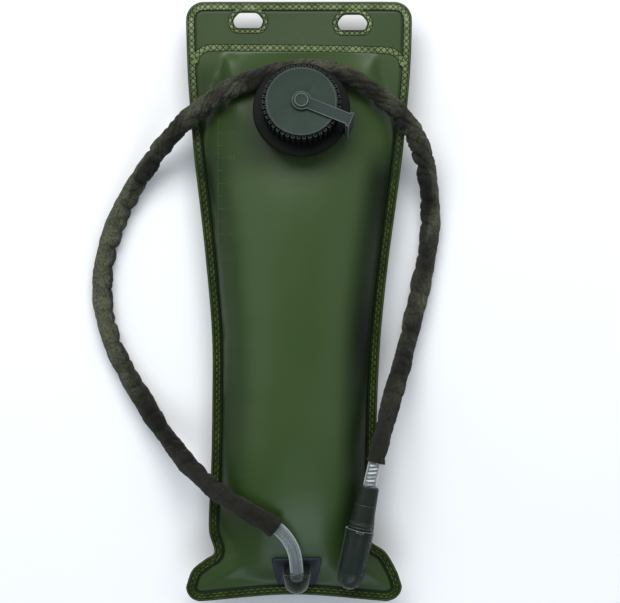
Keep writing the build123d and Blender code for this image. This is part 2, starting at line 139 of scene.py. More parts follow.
# The tube's route, from the outlet round the reservoir to the bite valve, in millimetres
ROUTE = [
    (-1.5, -197.5, 37.0), (-1.6, -184.0, 43.9), (-5.3, -171.5, 49.2), (-14.5, -160.0, 52.5),
    (-36.0, -148.5, 53.5), (-60.0, -135.0, 43.5), (-80.0, -117.0, 27.0), (-99.0, -93.0, 12.0),
    (-118.0, -64.0, 7.2), (-135.0, -33.0, 7.0), (-144.0, 2.0, 7.0), (-141.0, 34.0, 7.0),
    (-130.0, 64.0, 7.2), (-116.0, 88.0, 9.0), (-98.0, 112.0, 21.5), (-77.5, 133.0, 38.0),
    (-52.0, 150.0, 48.5), (-24.0, 161.8, 48.8), (6.0, 166.6, 46.9), (34.0, 161.5, 48.2),
    (57.0, 146.8, 48.5), (74.5, 132.5, 41.0), (88.0, 112.0, 27.0), (94.5, 83.0, 11.5),
    (95.8, 52.0, 7.2), (90.0, 20.0, 7.0), (83.5, -10.0, 8.5), (74.0, -44.0, 16.0),
    (65.5, -74.0, 30.0), (59.0, -97.0, 42.0), (53.95, -113.66, 46.25), (50.1, -131.6, 45.0),
]
# Bare lengths of the tube before and after its cover
SLEEVE_FIRST_TRIM = 0.045
SLEEVE_LAST_TRIM = 0.018
# Heights up the port where the leash's two pieces meet, and where the cuts across it begin and end
LEASH_SPLIT = 0.01185
LEASH_LOW = 0.0072
LEASH_HIGH = 0.03

# One repeat of the weld's lattice, in half lengths and half widths: a diamond and the triangles beside it
LATTICE = (((-1, 0), (0, -1), (1, 0), (0, 1)), ((0, 1), (1, 0), (2, 1)), ((0, -1), (2, -1), (1, 0)))

# Distance in from the lattice's lines and share of the height, for each ring of a pad
PAD_RINGS = ((0.00016, 0.0), (0.00028, 0.7), (0.00055, 1.0))
UNIT_SQUARE = ((-0.5, -0.5), (0.5, -0.5), (0.5, 0.5), (-0.5, 0.5))

# Points closer than this are one point, and edges sharper than this many degrees stay crisp
SAME_PLACE = 2e-6
SHARP = 38

# Places of a finished piece's painted highlight faces and painted shade faces in its list of materials
PAINTED_HIGHLIGHT = 1
PAINTED_SHADE = 2


# ---------------- small tools
def link(name, data):
    obj = bpy.data.objects.new(name, data)
    bpy.context.scene.collection.objects.link(obj)
    return obj


def smooth(mesh, sharp=None):
    """Smooth shading; edges over the sharp angle in degrees, where one is given, stay crisp."""
    mesh.polygons.foreach_set("use_smooth", [True] * len(mesh.polygons))
    if sharp:
        mesh.set_sharp_from_angle(angle=radians(sharp))


def mesh_object(name, verts, faces):
    mesh = bpy.data.meshes.new(name)
    mesh.from_pydata([tuple(v) for v in verts], [], faces)
    mesh.validate()
    mesh.update()
    smooth(mesh)
    return link(name, mesh)


@contextmanager
def edited(mesh):
    """A mesh opened for editing, and written back at the end."""
    bm = bmesh.new()
    bm.from_mesh(mesh)
    yield bm
    bm.to_mesh(mesh)
    bm.free()


def face_outwards(bm):
    bmesh.ops.recalc_face_normals(bm, faces=bm.faces)


def grid_quads(rows, columns, closed=False):
    """Faces over rows of points; closed joins the end of each row to its start."""
    quads = []
    for i in range(rows - 1):
        a, b = i * columns, (i + 1) * columns
        for j in range(columns if closed else columns - 1):
            k = (j + 1) % columns
            quads.append((a + j, a + k, b + k, b + j))
    return quads


def paint(obj, name, values):
    """Gives each point of a mesh a value that its material reads."""
    obj.data.attributes.new(name, "FLOAT", "POINT").data.foreach_set("value", values)


def evaluated_mesh(obj):
    depsgraph = bpy.context.evaluated_depsgraph_get()
    return bpy.data.meshes.new_from_object(obj.evaluated_get(depsgraph))


def modify(obj, kind, **settings):
    """Changes a mesh by a modifier, which is applied at once."""
    modifier = obj.modifiers.new("change", kind)
    for key, value in settings.items():
        setattr(modifier, key, value)
    mesh = evaluated_mesh(obj)
    obj.modifiers.clear()
    obj.data = mesh


def ease(low, high, x):
    """Smooth step from 0 at low to 1 at high."""
    t = min(1.0, max(0.0, (x - low) / (high - low)))
    return t * t * (3 - 2 * t)


def wobble(*place):
    """Smooth noise at a place, about -1 to 1."""
    return noise.noise(Vector(place))


def bell(x, middle, width):
    """A smooth bump, 1 at the middle."""
    return exp(-((x - middle) / width) ** 2)


def spot(x, y):
    return Vector((x, y, 0))


def stand_in(obj, node):
    """Shows a piece in the place of a CAD node, on the same body."""
    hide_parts(node)
    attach(obj, NODES[node]["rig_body"])
    return obj


# ---------------- camera, light and floor
def camera():
    data = bpy.data.cameras.new("camera")
    data.sensor_fit = "HORIZONTAL"
    data.sensor_width = 36.0
    distance = 2.2
    view_width = 0.4445
    data.lens = data.sensor_width * (distance - SEAM) / view_width
    obj = link("camera", data)
    obj.location = (0.0079, 0.0, distance)
    bpy.context.scene.camera = obj


def area_light(name, location, target, size, power, colour=(1, 1, 1)):
    data = bpy.data.lights.new(name, "AREA")
    data.shape = "RECTANGLE"
    data.size, data.size_y = size
    data.energy = power
    data.color = colour
    obj = link(name, data)
    obj.location = location
    direction = Vector(target) - Vector(location)
    obj.rotation_euler = direction.to_track_quat("-Z", "Y").to_euler()


def studio():
    world = bpy.data.worlds.new("world")
    world.use_nodes = True
    background = world.node_tree.nodes["Background"]
    background.inputs["Color"].default_value = (0.88, 0.94, 1.0, 1)
    background.inputs["Strength"].default_value = 0.30
    bpy.context.scene.world = world
    area_light("key", (-0.15, 1.15, 1.35), (0, 0.05, 0), (1.7, 0.9), 32)
    area_light("front", (0.10, -1.30, 1.20), (0, -0.1, 0), (1.4, 0.6), 9, (0.74, 0.88, 1.0))
    area_light("right", (1.50, 0.0, 1.30), (0, 0, 0), (0.8, 1.4), 3)
    area_light("left", (-1.50, 0.10, 1.20), (0, 0, 0), (0.8, 1.4), 4.5, (0.92, 0.97, 1.0))
    bpy.context.scene.view_settings.view_transform = "Standard"
    floor = mesh_object("floor", [(-3, -3, 0), (3, -3, 0), (3, 3, 0), (-3, 3, 0)], [(0, 1, 2, 3)])
    floor_material()
    dress(floor, "floor")


# ---------------- materials
MATERIALS = {}


class Nodes:
    """Short way to write a node material, which MATERIALS then holds by its name."""

    def __init__(self, name):
        material = bpy.data.materials.new(name)
        material.use_nodes = True
        MATERIALS[name] = material
        self.tree = material.node_tree
        self.shader = self.tree.nodes["Principled BSDF"]
        self.coordinates = self.new("TexCoord").outputs

    def give(self, socket, value):
        """Sets a socket to a number or colour, or links it to another node's output."""
        if isinstance(value, bpy.types.NodeSocket):
            self.tree.links.new(value, socket)
        else:
            socket.default_value = value

    def new(self, kind, **values):
        """A node with the given settings and inputs; an input's spaces are written as underscores."""
        node = self.tree.nodes.new("ShaderNode" + kind)
        for key, value in values.items():
            if hasattr(node, key):
                setattr(node, key, value)
            else:
                self.give(node.inputs[key.replace("_", " ")], value)
        return node

    def shade(self, **values):
        """Gives the surface shader its values."""
        for key, value in values.items():
            self.give(self.shader.inputs[key.replace("_", " ")], value)

    def attribute(self, name):
        return self.new("Attribute", attribute_name=name).outputs["Fac"]

    def noise(self, scale, detail=3.0, rough=0.55, stretch=(1, 1, 1)):
        place = self.new("Mapping", Scale=stretch, Vector=self.coordinates["Object"])
        texture = self.new("TexNoise", Scale=scale, Detail=detail, Roughness=rough,
                           Vector=place.outputs["Vector"])
        return texture.outputs["Fac"]

    def bands(self, direction, coordinates, scale, distortion=0.0):
        wave = self.new("TexWave", bands_direction=direction, Scale=scale, Distortion=distortion,
                        Vector=self.coordinates[coordinates])
        return wave.outputs["Fac"]

    def ramp(self, source, low, high, low_colour, high_colour):
        node = self.new("ValToRGB", Fac=source)
        first, last = node.color_ramp.elements
        first.position = low
        last.position = high
        first.color = (*low_colour, 1)
        last.color = (*high_colour, 1)
        return node.outputs["Color"]

    def range(self, source, low, high, start=0.0, stop=1.0):
        limits = dict(From_Min=start, From_Max=stop, To_Min=low, To_Max=high)
        return self.new("MapRange", Value=source, **limits).outputs["Result"]

    def arithmetic(self, operation, *values, clamp=False):
        node = self.new("Math", operation=operation, use_clamp=clamp)
        for socket, value in zip(node.inputs, values):
            self.give(socket, value)
        return node.outputs[0]

    def bump(self, source, strength, distance, before=None):
        node = self.new("Bump", Strength=strength, Distance=distance, Height=source)
        if before:
            self.give(node.inputs["Normal"], before)
        return node.outputs["Normal"]

    def mix(self, factor, first, second, blend="MIX"):
        node = self.new("Mix", data_type="RGBA", blend_type=blend)
        for index, value in ((0, factor), (6, first), (7, second)):
            self.give(node.inputs[index], (*value, 1) if isinstance(value, tuple) else value)
        return node.outputs[2]


def floor_material():
    n = Nodes("floor")
    n.shade(Base_Color=n.ramp(n.noise(3), 0.2, 0.8, (0.86, 0.87, 0.88), (0.9, 0.9, 0.9)), Roughness=0.8)


def film_material():
    """Satin olive film: water-tinted patches, faint drawing streaks, painted shade on the rolled edges, fine
    grain.
    """
    n = Nodes("film")
    broad = n.noise(7, 2)
    edge = n.attribute("edge")
    colour = n.ramp(broad, 0.32, 0.68, (0.024, 0.055, 0.006), (0.034, 0.064, 0.014))
    colour = n.mix(n.range(n.noise(60, 3, 0.5, (1, 0.05, 1)), 0.0, 0.22), colour, (0.018, 0.042, 0.01))
    peel = n.bump(n.noise(220, 2), 0.12, 0.0006)
    n.shade(
        # The edge value mixes in the dark colour: the dark pressed weld lines, painted shade and painted
        # shadow.
        Base_Color=n.mix(edge, colour, (0.0035, 0.0075, 0.0035)),
        Roughness=n.range(broad, 0.34, 0.46),
        Specular_IOR_Level=n.range(edge, 0.4, 0.05),
        Normal=n.bump(n.noise(2600, 2), 0.12, 0.0001, peel),
    )


def weld_material(name, pale, olive):
    """Weld plastic: pale near the hanging tab, olive and darker towards the foot; the pale colour is partly
    stress-whitening and partly a painted highlight.
    """
    n = Nodes(name)
    split = n.new("SeparateXYZ", Vector=n.coordinates["Object"])
    # The mix from olive to pale with height is partly a painted highlight.
    height = n.range(split.outputs["Y"], 0.0, 1.0, 0.09, 0.20)
    blotches = n.noise(110, 4)
    low, high = [n.ramp(blotches, 0.3, 0.7, *colours) for colours in (olive, pale)]
    n.shade(
        Base_Color=n.mix(height, low, high),
        Normal=n.bump(n.noise(1800, 2), 0.2, 0.0001),
        Roughness=0.36,
        Specular_IOR_Level=0.13,
    )


def groove_material():
    """Pressed ground between the weld's pads, dark partly in its own tone and partly as painted shade between
    the raised pads.
    """
    n = Nodes("weld_ground")
    n.shade(
        Base_Color=n.ramp(n.noise(70, 3), 0.3, 0.7, (0.004, 0.009, 0.002), (0.01, 0.019, 0.005)),
        Normal=n.bump(n.noise(1500, 2), 0.2, 0.0001),
        Roughness=0.45,
        Specular_IOR_Level=0.1,
    )


def plastic_material(name, dark, light, roughness=0.4, grain=900, strength=0.2, shine=0.3):
    """Moulded plastic with spark-eroded grain, faint flow marks and uneven sheen."""
    n = Nodes(name)
    n.shade(
        Base_Color=n.ramp(n.noise(40, 4), 0.3, 0.75, dark, light),
        Roughness=n.range(n.noise(120, 3), roughness - 0.06, roughness + 0.08),
        Normal=n.bump(n.noise(grain, 3), strength, 0.0002),
        Specular_IOR_Level=shine,
    )


def clear_material(name, tint, roughness, cover, shine, wall=(0.5, 0.5, 0.5)):
    """Clear plastic: see-through tint with cloudy patches and haze, and a painted highlight where its walls
    stand upright, lighter and less see-through there.
    """
    n = Nodes(name)
    haze = n.noise(160, 4)
    upright = n.attribute("upright")
    tint_patches = n.ramp(n.noise(90, 3), 0.3, 0.7, tuple(0.8 * c for c in tint), tint)
    lying = n.range(haze, cover * 0.93, min(1.0, cover * 1.07))
    n.shade(
        Base_Color=n.mix(upright, tint_patches, wall),
        Roughness=n.range(haze, roughness, roughness + 0.08),
        Alpha=n.arithmetic("MULTIPLY_ADD", upright, 0.5, lying, clamp=True),
        Normal=n.bump(n.noise(180, 2), 0.02, 0.0002),
        Specular_IOR_Level=shine,
    )


def barb_material():
    """Clear barbed tail: painted highlights on the ridges and painted shade in the gaps between them."""
    n = Nodes("clear_plastic_barbs")
    wave = n.bands("Y", "Object", 115.0, 1.5)
    n.shade(
        Base_Color=n.ramp(wave, 0.45, 0.62, (0.012, 0.014, 0.012), (0.8, 0.84, 0.82)),
        Roughness=n.range(n.noise(160, 4), 0.1, 0.2),
        Normal=n.bump(wave, 0.3, 0.0002),
    )


def sleeve_material():
    """Plain-woven olive-brown tape: two sets of yarns, lint and uneven dye, with painted light where it lies,
    a painted highlight on the yarns and painted shade in its folds.
    """
    n = Nodes("sleeve")
    weave = n.arithmetic("MULTIPLY", n.bands("X", "UV", 1.0), n.bands("Y", "UV", 1.0))
    dark = n.ramp(n.noise(75, 5, 0.65), 0.3, 0.7, (0.0038, 0.0035, 0.002), (0.0108, 0.0096, 0.006))
    light = n.ramp(n.noise(60, 5, 0.65), 0.3, 0.7, (0.056, 0.061, 0.039), (0.098, 0.104, 0.068))
    speckle = n.ramp(n.noise(620, 3, 0.7), 0.34, 0.66, (0.42, 0.42, 0.38), (1.7, 1.7, 1.6))
    colour = n.mix(1.0, n.mix(n.attribute("painted_light"), dark, light), speckle, "MULTIPLY")
    # Painted highlight: the yarn crossings are mixed a little towards a pale colour.
    colour = n.mix(n.range(weave, 0.0, 0.1), colour, (0.16, 0.16, 0.12))
    yarns = n.bump(weave, 0.7, 0.0004)
    n.shade(
        # The fold value mixes in painted shade at the pinches, creases, tucks and along the inside of bends.
        Base_Color=n.mix(n.attribute("fold"), colour, (0.0030, 0.0032, 0.0018)),
        Normal=n.bump(n.noise(1400, 3), 0.35, 0.0002, yarns),
        Roughness=0.9,
        Specular_IOR_Level=0.2,
        Sheen_Weight=0.06,
        Sheen_Roughness=0.5,
    )


# The two pale and the two olive colours of each weld material; the pale ones are partly a painted highlight
WELDS = {
    "weld_pads": (((0.09, 0.13, 0.046), (0.235, 0.29, 0.145)),
                  ((0.007, 0.015, 0.002), (0.026, 0.044, 0.006))),
    "weld_ribs": (((0.1, 0.14, 0.055), (0.24, 0.29, 0.15)), ((0.04, 0.06, 0.01), (0.13, 0.16, 0.042))),
    "scale_marks": (((0.04, 0.07, 0.018), (0.06, 0.095, 0.032)), ((0.04, 0.068, 0.018), (0.058, 0.09, 0.03))),
}

# Dark and light colour of each plastic, then roughness, scale and strength of the grain, and shine; the _edge
# entries are the lighter colours of a painted highlight on rounded edges
PLASTICS = {
    "cap_plastic": ((0.017, 0.03, 0.022), (0.027, 0.043, 0.033), 0.52, 900, 0.3, 0.12),
    "cap_plastic_edge": ((0.1, 0.125, 0.11), (0.2, 0.235, 0.215)),
    "leash_plastic": ((0.019, 0.029, 0.026), (0.031, 0.043, 0.039), 0.5, 1100, 0.2, 0.08),
    "leash_plastic_edge": ((0.08, 0.1, 0.09), (0.15, 0.175, 0.16)),
    "patch_plastic": ((0.005, 0.008, 0.012), (0.013, 0.019, 0.027), 0.42, 900, 0.2, 0.25),
    "patch_plastic_edge": ((0.02, 0.03, 0.04), (0.04, 0.054, 0.068)),
    "valve_plastic": ((0.0085, 0.0135, 0.01), (0.017, 0.024, 0.019), 0.4, 1500, 0.18, 0.12),
    "valve_plastic_edge": ((0.03, 0.04, 0.034), (0.055, 0.068, 0.06), 0.36),
    "black_plastic": ((0.003, 0.0038, 0.0034), (0.0075, 0.0085, 0.0075), 0.5, 1500, 0.18, 0.05),
    "rubber": ((0.006, 0.006, 0.006), (0.014, 0.014, 0.014), 0.6, 700, 0.3),
    "bite_silicone": ((0.01, 0.016, 0.014), (0.017, 0.025, 0.022), 0.5, 900, 0.2, 0.2),
}

# Tint, roughness, cover, shine and, where a piece has upright walls, their painted highlight colour in each
# clear plastic; the _edge entries are painted highlight on rounded edges, and the bore's darker tint is
# painted shade inside the tube
CLEARS = {
    "clear_plastic": ((0.03, 0.04, 0.032), 0.12, 0.36, 0.4, (0.36, 0.41, 0.37)),
    "clear_plastic_edge": ((0.58, 0.64, 0.61), 0.16, 0.85, 0.5),
    "smoked_plastic": ((0.022, 0.036, 0.028), 0.16, 0.34, 0.3, (0.13, 0.16, 0.14)),
    "smoked_plastic_edge": ((0.16, 0.2, 0.18), 0.2, 0.85, 0.5),
    "clear_tube": ((0.4, 0.46, 0.48), 0.14, 0.26, 0.6, (0.84, 0.92, 0.89)),
    "clear_tube_bore": ((0.1, 0.125, 0.12), 0.4, 0.3, 0.2),
}


def make_materials():
    for make in (film_material, groove_material, barb_material, sleeve_material):
        make()
    for make, table in ((weld_material, WELDS), (plastic_material, PLASTICS), (clear_material, CLEARS)):
        for name, values in table.items():
            make(name, *values)


def add_materials(obj, *names):
    for name in names:
        obj.data.materials.append(MATERIALS[name])


def dress(obj, material):
    obj.data.materials.clear()
    add_materials(obj, material)
    return obj


# ---------------- the tube's line
def route_points():
    """Points of the smooth line that the tube follows."""
    curve = bpy.data.curves.new("route", "CURVE")
    curve.dimensions = "3D"
    curve.resolution_u = 24
    spline = curve.splines.new("NURBS")
    spline.points.add(len(ROUTE) - 1)
    for point, place in zip(spline.points, ROUTE):
        point.co = (*[c * MM for c in place], 1.0)
    spline.order_u = 3
    spline.use_endpoint_u = True
    obj = link("route", curve)
    mesh = evaluated_mesh(obj)
    points = [v.co.copy() for v in mesh.vertices]
    bpy.data.objects.remove(obj)
    bpy.data.meshes.remove(mesh)
    return points


class Line:
    """A line through points, with even steps and a frame that doesn't twist."""

    def __init__(self, points):
        self.points = points
        self.reach = [0.0]
        for a, b in zip(points, points[1:]):
            self.reach.append(self.reach[-1] + (b - a).length)
        self.length = self.reach[-1]

    def at(self, s):
        s = min(max(s, 0.0), self.length)
        low = min(bisect_right(self.reach, s), len(self.reach) - 1) - 1
        span = self.reach[low + 1] - self.reach[low]
        share = (s - self.reach[low]) / span if span > 0 else 0
        return self.points[low].lerp(self.points[low + 1], share)

    def along(self, s, step=0.0015):
        return (self.at(s + step) - self.at(s - step)).normalized()

    def beside(self, s, offset):
        """A point to the left of the line, in plan."""
        along = self.along(s, 0.0006)
        return self.at(s) + spot(-along.y, along.x) * offset

    def bend(self, s, step=0.012):
        """Direction towards the inside of the bend, as long as the curvature."""
        return (self.along(s + step) - self.along(s - step)) / (2 * step)

    def frames(self, start, end, step):
        """(distance, place, side, up, along) at even steps."""
        count = max(2, round((end - start) / step))
        rows = []
        for i in range(count + 1):
            s = start + (end - start) * i / count
            tangent = self.along(s)
            side = tangent.cross(Vector((0, 0, 1))).normalized()
            rows.append((s, self.at(s), side, side.cross(tangent).normalized(), tangent))
        return rows


def spokes(frames, sides):
    """(distance, angle, place, direction outwards) at each point round a tube."""
    for s, place, side, up, _ in frames:
        for j in range(sides):
            a = 2 * pi * j / sides
            yield s, a, place, side * cos(a) + up * sin(a)


def make_hose(line):
    """Clear tube with its bore open from end to end."""
    frames = line.frames(0, line.length, 0.003)
    sides = 28
    verts = []
    for radius in (HOSE_RADIUS, HOSE_BORE):
        verts += [place + direction * radius for _, _, place, direction in spokes(frames, sides)]
    inner = len(frames) * sides
    faces = []
    for quad in grid_quads(len(frames), sides, True):
        faces += [quad, tuple(inner + corner for corner in reversed(quad))]
    walls = len(faces)
    last = inner - sides
    for j in range(sides):
        k = (j + 1) % sides
        faces.append((k, j, inner + j, inner + k))
        faces.append((last + j, last + k, inner + last + k, inner + last + j))
    obj = mesh_object("hose_tube", verts, faces)
    with edited(obj.data) as bm:
        face_outwards(bm)
    dress(obj, "clear_tube")
    add_materials(obj, "clear_tube_bore")
    # The bore's faces take the darker clear_tube_bore: painted shade inside the tube.
    obj.data.polygons.foreach_set("material_index", [i % 2 if i < walls else 0 for i in range(len(faces))])
    return stand_in(upright_walls(obj), "hose")


def sleeve_folds(line):
    """Lengths along the tube where the cover's gathers are pinched in, unevenly spaced."""
    dice = random.Random(11)
    folds = [SLEEVE_FIRST_TRIM + 0.012]
    while folds[-1] < line.length - SLEEVE_LAST_TRIM:
        folds.append(folds[-1] + dice.uniform(0.008, 0.0175))
    return [(s, dice.uniform(0.35, 1.0), dice.uniform(-0.5, 0.5)) for s in folds]


def sleeve_profile(line):
    """Radius and shade of the cover: gathers pinched on the inside of each bend, creases and swellings."""
    folds = sleeve_folds(line)
    known = {}

    def profile(s, a, direction):
        if s not in known:
            known[s] = line.bend(s), ease(0.075, 0.12, line.at(s).y)
        bend, arch = known[s]
        curl = min(1.0, bend.length / 9.0)
        facing = bend.normalized().dot(direction) if bend.length > 1e-6 else 0.0
        inner = ease(-0.35, 0.95, facing)
        cos_a, sin_a = cos(a), sin(a)
        value = SLEEVE_RADIUS * (1 + 0.035 * (cos_a * cos_a - sin_a * sin_a))
        value += 0.0009 * wobble(s * 24, 2.0, 0.0)
        value += 0.0011 * wobble(s * 85, cos_a * 1.4, sin_a * 1.4)
        value += 0.0003 * wobble(s * 300 + cos_a * 1.6, sin_a * 2.4, 5.0)
        web = abs(wobble(s * 105 + 1.1 * sin_a, cos_a * 1.1, sin_a * 1.2 + s * 14))
        crease = (1 - min(1.0, web / 0.17)) ** 2 * max(0.3 + 0.7 * inner, arch)
        tuck = abs(wobble(s * 82 + 0.9 * cos_a, sin_a * 0.7 - s * 10, 8.1))
        tuck = (1 - min(1.0, tuck / 0.13)) ** 2 * arch
        swell = 0.0012 * inner * (0.35 + 0.65 * curl)
        pinch = 0.0
        for place, depth, lean in folds:
            off = s - place - lean * 0.008 * (1 - facing)
            if abs(off) < 0.009:
                reach = inner if depth > 0.6 else inner * inner
                pinch += depth * (0.3 + 0.7 * curl) * (0.18 + reach) * exp(-abs(off) / 0.0021)
        pinch = min(1.2, pinch)
        value += swell - 0.0027 * pinch - 0.0013 * crease - 0.0016 * tuck
        end = min(s - SLEEVE_FIRST_TRIM, line.length - SLEEVE_LAST_TRIM - s)
        value += 0.0005 * exp(-abs(end) / 0.004)
        strip = ease(0.72 - 0.72 * arch, 0.93 - 0.43 * arch, facing) * curl
        strip *= 0.75 - 0.2 * arch + (0.9 + 1.3 * arch) * wobble(s * 45, 0.0, 3.3)
        # light is what the painted shade leaves at this point
        light = (1 - 0.85 * min(1.0, pinch)) * (1 - 0.55 * crease) * (1 - 0.75 * tuck)
        light *= 1 - 0.8 * min(1.0, max(0.0, strip))
        return max(value, HOSE_RADIUS + 0.0004), 1 - light
    return profile


def sleeve_painted_light(p):
    """How much painted light the fabric takes, by where it lies, broken into patches."""
    left = ease(-0.08, -0.125, p.x) * ease(-0.09, -0.015, p.y)
    right = 0.5 * ease(0.02, 0.07, p.x) * ease(-0.12, 0.02, p.y)
    top = 0.36 * ease(0.085, 0.14, p.y)
    patches = 1 + 2.2 * wobble(*(p * 62)) * (1 - 0.8 * left)
    return 0.03 + 0.95 * max(left, right, top) * max(0.1, patches)


def weave_map(obj, frames, sides):
    """Unrolls the cover so that one unit of the map is one yarn, with whole yarns round it."""
    yarns_round = round(2 * pi * SLEEVE_RADIUS / YARN)
    layer = obj.data.uv_layers.new(name="weave").data
    for polygon in obj.data.polygons:
        i, j = divmod(polygon.index, sides)
        corners = ((i, j), (i, j + 1), (i + 1, j + 1), (i + 1, j))
        for loop, (row, column) in zip(polygon.loop_indices, corners):
            layer[loop].uv = (frames[row][0] * (1 / YARN), column / sides * yarns_round)


def hem_in(bm, frame_row, sign):
    """Turns the cut end of the cover in on itself."""
    _, place, _, _, tangent = frame_row
    rim = [e for e in bm.edges if e.is_boundary and (e.verts[0].co - place).length < 0.012]
    for depth, shrink in ((0.0004, 0.93), (0.0, 0.83), (-0.006, 0.78)):
        made = bmesh.ops.extrude_edge_only(bm, edges=rim)["geom"]
        rim = [g for g in made if isinstance(g, bmesh.types.BMEdge) and g.is_boundary]
        for v in made:
            if isinstance(v, bmesh.types.BMVert):
                flat = v.co - place
                flat -= tangent * flat.dot(tangent)
                v.co = place + flat.normalized() * (SLEEVE_RADIUS * shrink) + tangent * depth * sign


def make_sleeve(line):
    frames = line.frames(SLEEVE_FIRST_TRIM, line.length - SLEEVE_LAST_TRIM, YARN)
    profile = sleeve_profile(line)
    sides = 44
    verts = []
    shades = []
    for s, a, place, direction in spokes(frames, sides):
        radius, shade = profile(s, a, direction)
        verts.append(place + direction * radius)
        shades.append(shade)
    obj = mesh_object("sleeve_cover", verts, grid_quads(len(frames), sides, True))
    weave_map(obj, frames, sides)
    paint(obj, "fold", shades)
    paint(obj, "painted_light", [sleeve_painted_light(v.co) for v in obj.data.vertices])
    with edited(obj.data) as bm:
        hem_in(bm, frames[0], -1)
        hem_in(bm, frames[-1], 1)
        face_outwards(bm)
    smooth(obj.data)
    dress(obj, "sleeve")
    return stand_in(obj, "hose_sleeve")


# ---------------- the reservoir's shape
def edges_at(y):
    """Left and right edge of the reservoir above the bottom corners."""
    here = min(y / MM, SIDES[0][0])
    for high, low in zip(SIDES, SIDES[1:]):
        if here >= low[0]:
            share = (here - low[0]) / (high[0] - low[0])
            return tuple((low[k] + share * (high[k] - low[k])) * MM for k in (1, 2))
    return SIDES[-1][1] * MM, SIDES[-1][2] * MM


def middle_x(y):
    return sum(edges_at(y)) / 2


def fullness(y, upwards, downwards):
    """Share of the full height at a place along the chamber, 1 at its fullest."""
    end, (power, root) = (CHAMBER_TOP, upwards) if y >= FULLEST_Y else (CHAMBER_BOTTOM, downwards)
    u = min(1.0, (y - FULLEST_Y) / (end - FULLEST_Y))
    return (1 - u ** power) ** (1 / root)


def catmull(points, steps):
    """Points of a smooth open curve through the given points."""
    out = []
    padded = [points[0] * 2 - points[1]] + points + [points[-1] * 2 - points[-2]]
    for a, b, c, d in zip(padded, padded[1:], padded[2:], padded[3:]):
        for i in range(steps):
            t = i / steps
            out.append(0.5 * (2 * b + (c - a) * t + (2 * a - 5 * b + 4 * c - d) * t * t
                              + (3 * b - a - 3 * c + d) * t ** 3))
    out.append(points[-1])
    return out


def arc_points(centre, radius, start, steps=8):
    """A quarter turn from the start angle in degrees, without its ends."""
    angles = [radians(start + 90 * i / steps) for i in range(1, steps)]
    return [centre + spot(cos(a), sin(a)) * radius for a in angles]


def even(points, step, closed=True):
    """Evenly spaced points round a closed or open line."""
    line = Line(points + points[:1] if closed else points)
    count = round(line.length / step)
    return [line.at(line.length * i / count) for i in range(count if closed else count + 1)]


def outline(step):
    """The reservoir's outline, anticlockwise from the top right corner."""
    half = WIDTH / 2
    top = LENGTH / 2
    right = [spot(right_x, y) * MM for y, _, right_x in SIDES]
    left = [spot(left_x, y) * MM for y, left_x, _ in SIDES]
    right_ear, left_ear = [[spot(x, y) * MM for x, y in side] for side in (RIGHT_EAR, LEFT_EAR)]
    points = arc_points(spot(half - CORNER, top - CORNER), CORNER, 0)
    points += [spot(x * half, top) for x in (0.7, 0.3, -0.1, -0.5, -0.7)]
    points += arc_points(spot(CORNER - half, top - CORNER), CORNER, 90)
    points += catmull(left + left_ear[1:], 8)
    points += arc_points(left_ear[-1] + spot(FOOT_RADIUS, 0), FOOT_RADIUS, 180)
    left_foot = spot(left_ear[-1].x + FOOT_RADIUS, -top)
    right_foot = spot(right_ear[-1].x - FOOT_RADIUS, -top)
    points += catmull([left_foot, spot(FOOT_X, FOOT_NOTCH - top), right_foot], 12)
    points += arc_points(right_ear[-1] + spot(-FOOT_RADIUS, 0), FOOT_RADIUS, -90)
    points += list(reversed(catmull(right + right_ear[1:], 8)))
    remaining = [points[0]]
    for p in points[1:]:
        if (p - remaining[-1]).length > 0.0002:
            remaining.append(p)
    return even(remaining, step)


def inward(points, distance, closed=True):
    """The same line moved sideways to its left, which is inwards on an anticlockwise outline."""
    out = []
    count = len(points)
    for i, p in enumerate(points):
        before = points[(i - 1) % count] if closed or i > 0 else p
        after = points[(i + 1) % count] if closed or i < count - 1 else p
        along = (after - before).normalized()
        out.append(p + spot(-along.y, along.x) * distance)
    return out


def seam_z(x, y):
    """Height of the seam between the films: nearly flat, with a slow wander."""
    tab = ease(0.17, 0.215, y)
    return SEAM + 0.0011 * wobble(x * 9, y * 11, 3.1) - 0.0016 * tab * (1 - (x / 0.09) ** 2)


def outline_distance():
    """Function giving how far a point is inside the outline, negative outside."""
    loop = outline(0.001)
    count = len(loop)
    tree = KDTree(count)
    for i, p in enumerate(loop):
        tree.insert(p, i)
    tree.balance()

    def distance(x, y):
        p = spot(x, y)
        _, i, _ = tree.find(p)
        best = 1.0
        for k in (i - 1, i):
            a, b = loop[k % count], loop[(k + 1) % count]
            span = b - a
            t = min(1.0, max(0.0, (p - a).dot(span) / span.length_squared))
            off = p - (a + span * t)
            if off.length < abs(best):
                side = span.x * (p.y - a.y) - span.y * (p.x - a.x)
                best = copysign(off.length, side)
        return best
    return distance


DISTANCE = outline_distance()


def dome(x, y, rise, crown):
    """Height of the filled chamber off the seam."""
    if not CHAMBER_BOTTOM < y < TOP_WELD_Y:
        return 0.0
    left, right = edges_at(y)
    s = abs(x - (left + right) / 2) / ((right - left) / 2 - BAND - 0.013 * ease(0.115, 0.17, y))
    if s >= 1:
        return 0.0
    pinch = 0.6 + 0.45 * max(0.0, (y - FULLEST_Y) / (CHAMBER_TOP - FULLEST_Y)) ** 4
    slack = ease(0.35, 0.9, s) * ease(-0.14, -0.185, y)
    return rise * (1 - s ** crown) ** (pinch + 1.2 * slack)


def ear(x, y, distance):
    """Slack water in the bottom corners."""
    beside = ease(0.024, 0.046, abs(x - middle_x(y)))
    return 0.0052 * ease(BAND - 0.001, 0.026, distance) * ease(-0.14, -0.176, y) * beside


